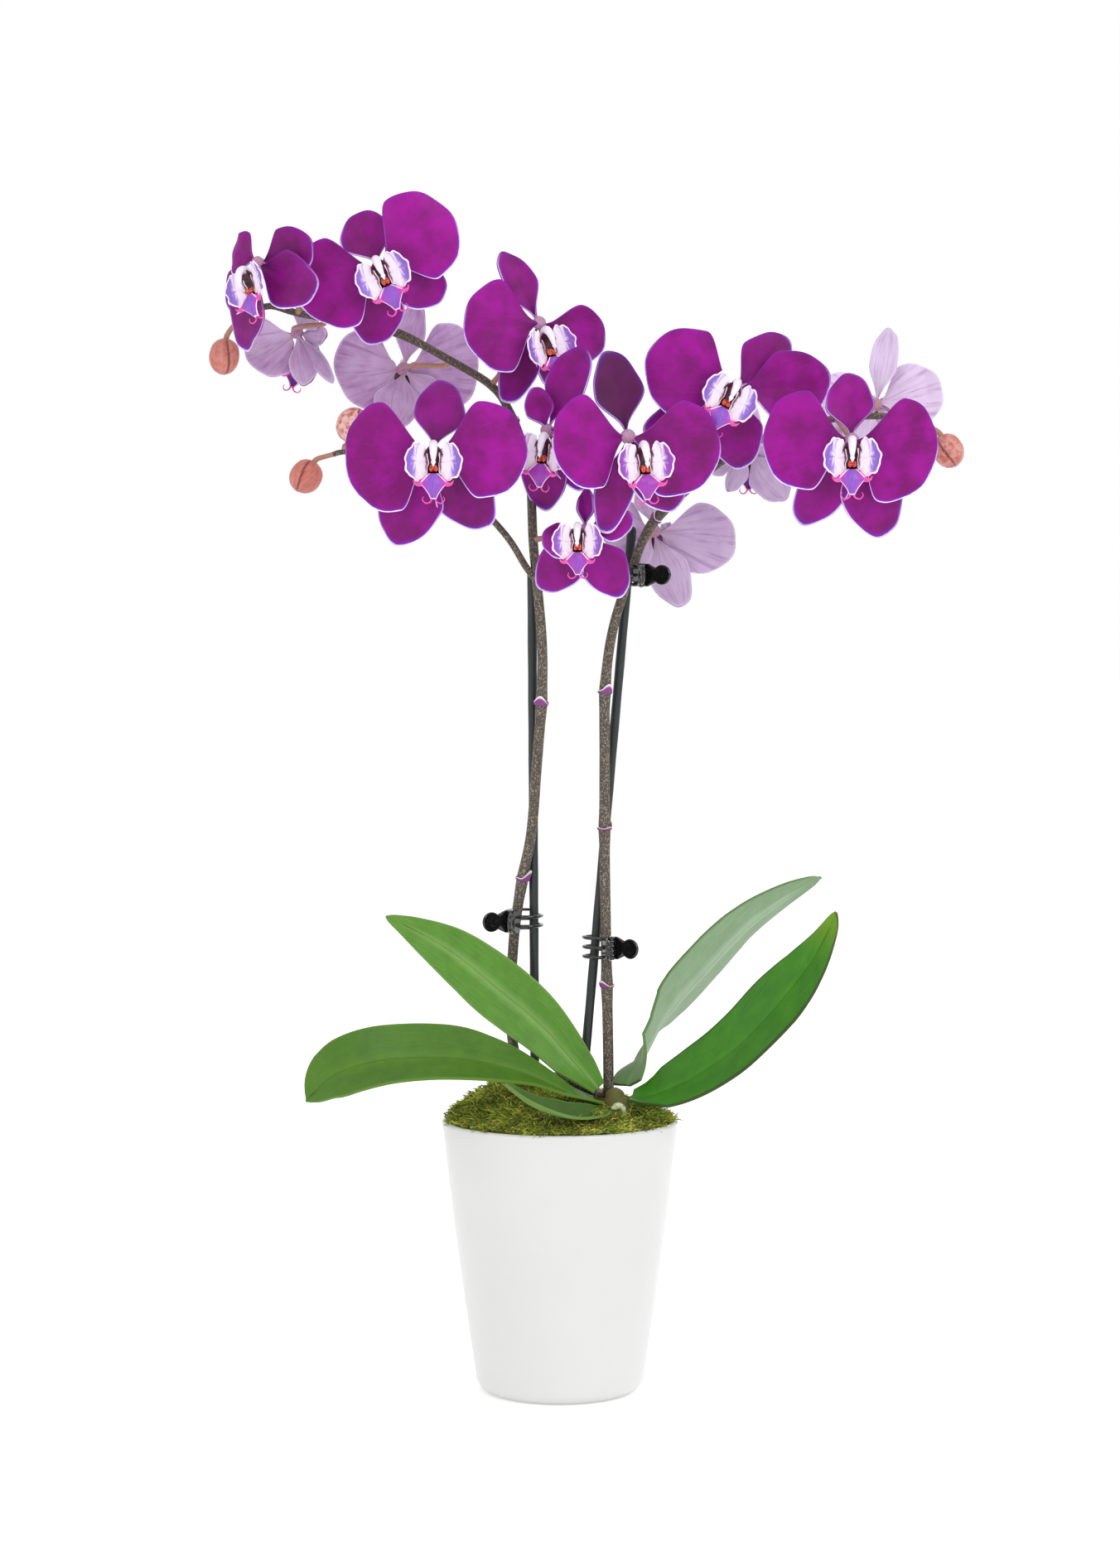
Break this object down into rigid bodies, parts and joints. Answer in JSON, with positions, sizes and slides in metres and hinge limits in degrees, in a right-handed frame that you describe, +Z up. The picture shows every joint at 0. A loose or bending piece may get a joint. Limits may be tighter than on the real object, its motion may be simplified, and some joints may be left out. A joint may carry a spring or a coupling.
{
  "type": "potted orchid",
  "caption": "Potted moth orchid with two staked arching flower spikes, strap leaves and moss in a round tapered ceramic pot.",
  "frame": {"origin": "centre of the flat foot that the pot stands on", "axes": "+Z up along the pot's axis; -Y towards the front, where most flowers face; +X to the right as seen from the front"},
  "size_m": [0.4106, 0.1415, 0.6553],
  "materials": {
    "ceramic": "satin",
    "bark": "matte",
    "moss": "matte",
    "crown": "satin",
    "root": "satin",
    "leaf": "satin",
    "stem": "satin",
    "stake": "satin",
    "flower": "satin",
    "lip": "satin",
    "bud": "satin",
    "clip": "gloss",
    "pin": "satin"
  },
  "bodies": {
    "root": {"pot": "ceramic", "potting_bark": "bark", "moss_mound": "moss", "crown": "crown", "aerial_root": "root", "leaf_1": "leaf", "leaf_2": "leaf", "leaf_3": "leaf", "leaf_4": "leaf", "leaf_5": "leaf", "spike_left": "stem", "spike_left_branch": "stem", "spike_right": "stem", "stake_left": "stake", "stake_right": "stake", "flower_01": "flower", "flower_01_lip": "lip", "flower_02": "flower", "flower_02_lip": "lip", "flower_03": "flower", "flower_03_lip": "lip", "flower_04": "flower", "flower_04_lip": "lip", "flower_05": "flower", "flower_05_lip": "lip", "flower_06": "flower", "flower_06_lip": "lip", "flower_07": "flower", "flower_07_lip": "lip", "flower_08": "flower", "flower_08_lip": "lip", "flower_09": "flower", "flower_09_lip": "lip", "flower_10": "flower", "flower_10_lip": "lip", "flower_11": "flower", "flower_11_lip": "lip", "flower_12": "flower", "flower_12_lip": "lip", "flower_13": "flower", "flower_13_lip": "lip", "flower_14": "flower", "flower_14_lip": "lip", "bud_1": "bud", "bud_2": "bud", "bud_3": "bud", "bud_4": "bud", "clip_1_jaw_back": "clip", "clip_1_pin": "pin", "clip_2_jaw_back": "clip", "clip_2_pin": "pin", "clip_3_jaw_back": "clip", "clip_3_pin": "pin"},
    "clip_1_front": {"clip_1_jaw_front": "clip"},
    "clip_2_front": {"clip_2_jaw_front": "clip"},
    "clip_3_front": {"clip_3_jaw_front": "clip"}
  },
  "joints": [
    {"name": "clip_1_hinge", "type": "hinge", "parent": "root", "child": "clip_1_front", "pos_m": [-0.02636, -0.00095, 0.259], "axis": [0, 0, -1], "range_deg": [0, 28], "stiffness_Nm_per_rad": 0.001, "springref_deg": -11.46},
    {"name": "clip_2_hinge", "type": "hinge", "parent": "root", "child": "clip_2_front", "pos_m": [0.0276, -0.01834, 0.246], "axis": [0, 0, -1], "range_deg": [0, 28], "stiffness_Nm_per_rad": 0.001, "springref_deg": -11.46},
    {"name": "clip_3_hinge", "type": "hinge", "parent": "root", "child": "clip_3_front", "pos_m": [0.04424, -0.01117, 0.449], "axis": [0, 0, -1], "range_deg": [0, 28], "stiffness_Nm_per_rad": 0.001, "springref_deg": -11.46}
  ]
}
